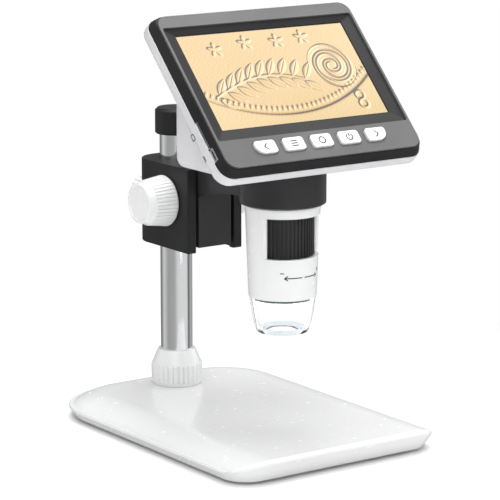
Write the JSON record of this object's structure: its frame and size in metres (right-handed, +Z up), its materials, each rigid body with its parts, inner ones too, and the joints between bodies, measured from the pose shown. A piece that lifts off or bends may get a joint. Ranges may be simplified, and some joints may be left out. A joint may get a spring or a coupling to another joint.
{
  "type": "lcd digital microscope on focusing stand",
  "caption": "Digital microscope with a tilted colour screen over its barrel, held by a ring arm on a rack-focusing bracket that slides on a chromed column over a flat stage base.",
  "frame": {"origin": "on the table plane, under the middle of the stage base, in its bottom contact plane at the rubber feet", "axes": "+Z up along the column, +Y from the screen side towards the column, +X to the user's right"},
  "size_m": [0.12, 0.1725, 0.2081],
  "materials": {
    "white_shell": "satin gloss white",
    "steel_plain": "plain",
    "black_plastic": "fine matte black",
    "rubber": "matte",
    "chrome_tube": "polished",
    "aluminium": "black anodised",
    "glass": "coated",
    "board": "solder mask",
    "lamps": "lamp package",
    "clear": "clear polycarbonate",
    "grey_panel": "satin grey",
    "display": "lit screen",
    "battery_foil": "foil"
  },
  "bodies": {
    "stage_base": {"base_shell": "white_shell", "ballast_plate": "steel_plain", "bottom_plate": "black_plastic", "rubber_feet": "rubber", "column_tube": "chrome_tube", "column_plug": "steel_plain", "column_bolt": "steel_plain", "column_cap": "black_plastic"},
    "foot_nut": {"column_foot_nut": "white_shell"},
    "bracket": {"column_bracket": "black_plastic"},
    "lock_knob": {"rear_lock_knob": "white_shell"},
    "pinion": {"pinion_shaft": "steel_plain", "focus_knob_left": "white_shell", "focus_knob_right": "white_shell"},
    "slider": {"focus_slider": "black_plastic", "ring_arm": "black_plastic"},
    "head": {"head_neck": "black_plastic", "barrel_shell": "white_shell", "guide_tube": "aluminium", "lamp_board": "board", "lamp_ring": "lamps", "clear_cover": "clear", "front_bezel": "black_plastic", "face_panel": "grey_panel", "display_module": "display", "main_board": "board", "battery": "battery_foil", "card_socket": "steel_plain", "power_socket": "steel_plain", "button_board": "board", "rear_housing": "white_shell", "sensor_board": "board"},
    "wheel": {"focus_wheel": "black_plastic"},
    "optics": {"lens_carrier": "black_plastic", "front_lens": "glass", "rear_lens": "glass"},
    "key_left": {"button_left": "white_shell"},
    "key_menu": {"button_menu": "white_shell"},
    "key_confirm": {"button_confirm": "white_shell"},
    "key_power": {"button_power": "white_shell"},
    "key_right": {"button_right": "white_shell"}
  },
  "joints": [
    {"name": "foot_nut_turn", "type": "hinge", "parent": "stage_base", "child": "foot_nut", "pos_m": [0, 0.0572, 0.0216], "axis": [0, 0, 1], "range_deg": [0, 360]},
    {"name": "bracket_height_slide", "type": "slide", "parent": "stage_base", "child": "bracket", "axis": [0, 0, 1], "range_m": [-0.028, 0.011]},
    {"name": "lock_knob_turn", "type": "hinge", "parent": "bracket", "child": "lock_knob", "pos_m": [0, 0.0772, 0.1061], "axis": [0, 1, 0], "range_deg": [0, 360]},
    {"name": "focus_slide", "type": "slide", "parent": "bracket", "child": "slider", "axis": [0, 0, 1], "range_m": [-0.015, 0.015]},
    {"name": "focus_knob_turn", "type": "hinge", "parent": "bracket", "child": "pinion", "pos_m": [0, 0.0421, 0.1102], "axis": [1, 0, 0], "range_deg": [-180, 180]},
    {"name": "head_swivel", "type": "hinge", "parent": "slider", "child": "head", "pos_m": [0, -0.0335, 0.13], "axis": [0, 0, 1], "range_deg": [-60, 60]},
    {"name": "focus_wheel_turn", "type": "hinge", "parent": "head", "child": "wheel", "pos_m": [0, -0.0335, 0.1045], "axis": [0, 0, 1], "range_deg": [-135, 135]},
    {"name": "lens_slide", "type": "slide", "parent": "head", "child": "optics", "axis": [0, 0, 1], "range_m": [-0.004, 0.004]},
    {"name": "key_left_press", "type": "slide", "parent": "head", "child": "key_left", "axis": [0, 0.7145, -0.6997], "range_m": [0, 0.0005], "stiffness_N_per_m": 1200},
    {"name": "key_menu_press", "type": "slide", "parent": "head", "child": "key_menu", "axis": [0, 0.7145, -0.6997], "range_m": [0, 0.0005], "stiffness_N_per_m": 1200},
    {"name": "key_confirm_press", "type": "slide", "parent": "head", "child": "key_confirm", "axis": [0, 0.7145, -0.6997], "range_m": [0, 0.0005], "stiffness_N_per_m": 1200},
    {"name": "key_power_press", "type": "slide", "parent": "head", "child": "key_power", "axis": [0, 0.7145, -0.6997], "range_m": [0, 0.0005], "stiffness_N_per_m": 1200},
    {"name": "key_right_press", "type": "slide", "parent": "head", "child": "key_right", "axis": [0, 0.7145, -0.6997], "range_m": [0, 0.0005], "stiffness_N_per_m": 1200}
  ],
  "couplings": [
    {"joint": "focus_knob_turn", "follows": "focus_slide", "rad_per_m": -208.33},
    {"joint": "focus_wheel_turn", "follows": "lens_slide", "rad_per_m": 589}
  ]
}
